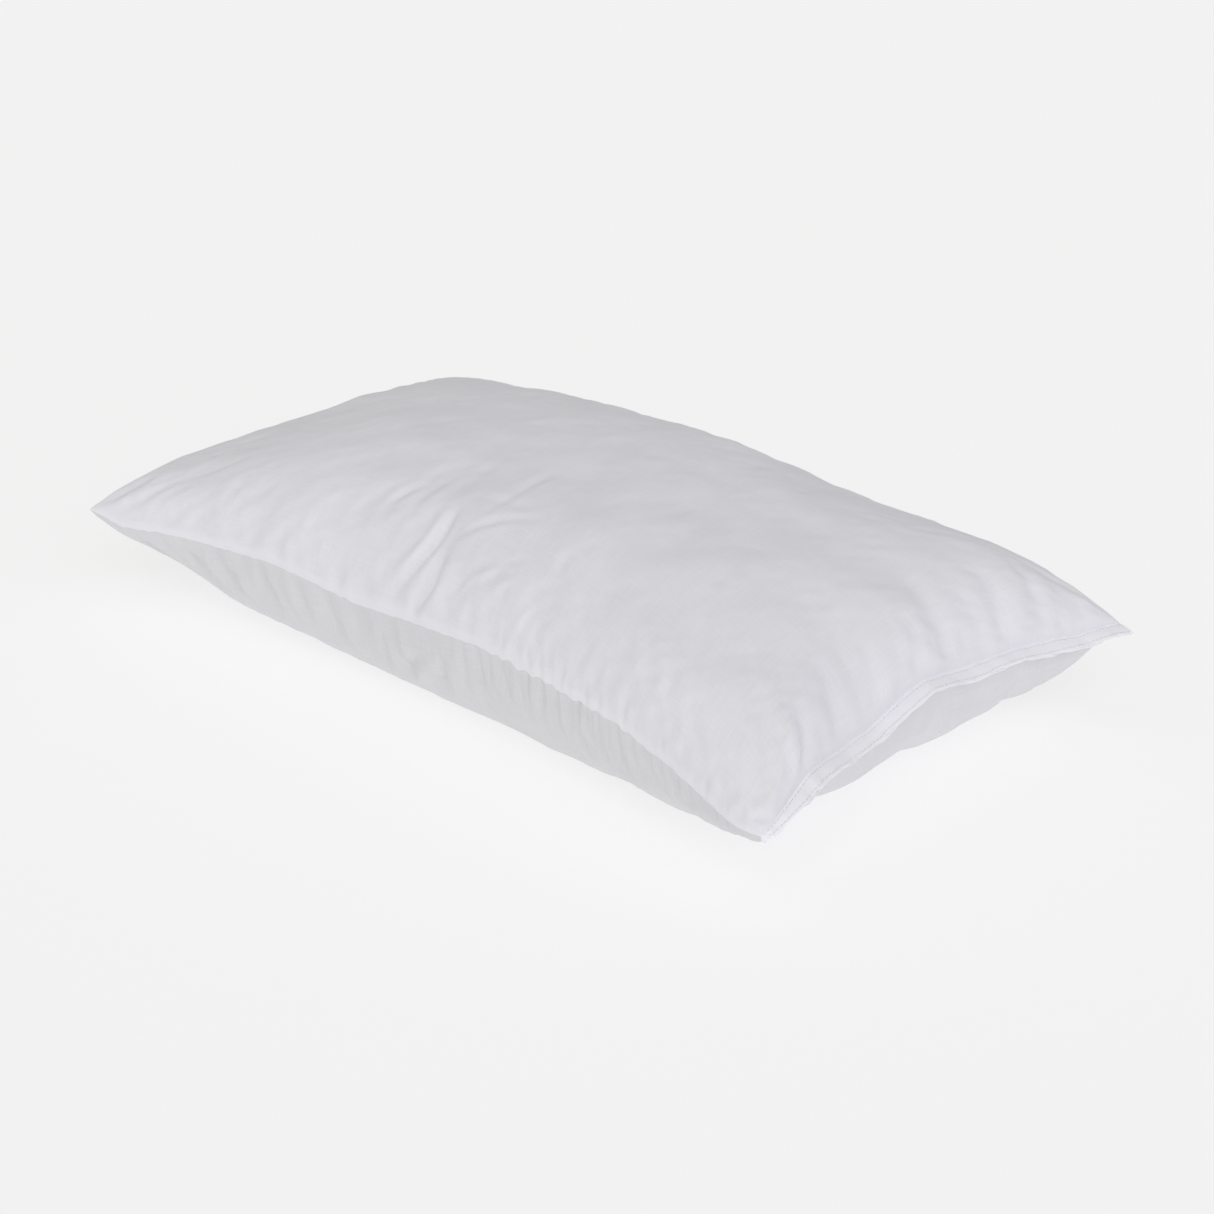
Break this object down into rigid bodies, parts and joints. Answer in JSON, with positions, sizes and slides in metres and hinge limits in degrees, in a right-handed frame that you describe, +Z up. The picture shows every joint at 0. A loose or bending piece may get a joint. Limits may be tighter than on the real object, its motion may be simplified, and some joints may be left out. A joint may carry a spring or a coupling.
{
  "type": "bed pillow",
  "caption": "Rectangular fibre-filled bed pillow with a plump crown, drawn-in sides, a topstitched closing lip at one end and a hanging care label.",
  "frame": {"origin": "on the resting surface, under the middle of the pillow's outline", "axes": "+X along the length, towards the end with the topstitched closing lip; +Y across the width; +Z up"},
  "size_m": [0.74, 0.42, 0.172],
  "materials": {
    "cotton_cloth": "plain woven cotton, matt with a faint sheen",
    "polyester_fibre": "loose siliconised hollow fibre",
    "sewing_thread": "twisted polyester thread",
    "label_tape": "smooth woven label tape, blank"
  },
  "bodies": {
    "pillow": {"top_panel": "cotton_cloth", "bottom_panel": "cotton_cloth", "fibre_fill": "polyester_fibre", "seam_needle_thread": "sewing_thread", "seam_bobbin_thread": "sewing_thread", "overedge_thread": "sewing_thread", "closing_outer_needle_thread": "sewing_thread", "closing_outer_bobbin_thread": "sewing_thread", "closing_inner_needle_thread": "sewing_thread", "closing_inner_bobbin_thread": "sewing_thread"},
    "label": {"care_label": "label_tape"}
  },
  "joints": [
    {"name": "label_flap", "type": "hinge", "parent": "pillow", "child": "label", "pos_m": [-0.34377, 0.06, 0.07784], "axis": [-0.0821, 0.9966, 0], "range_deg": [-10, 160]}
  ]
}
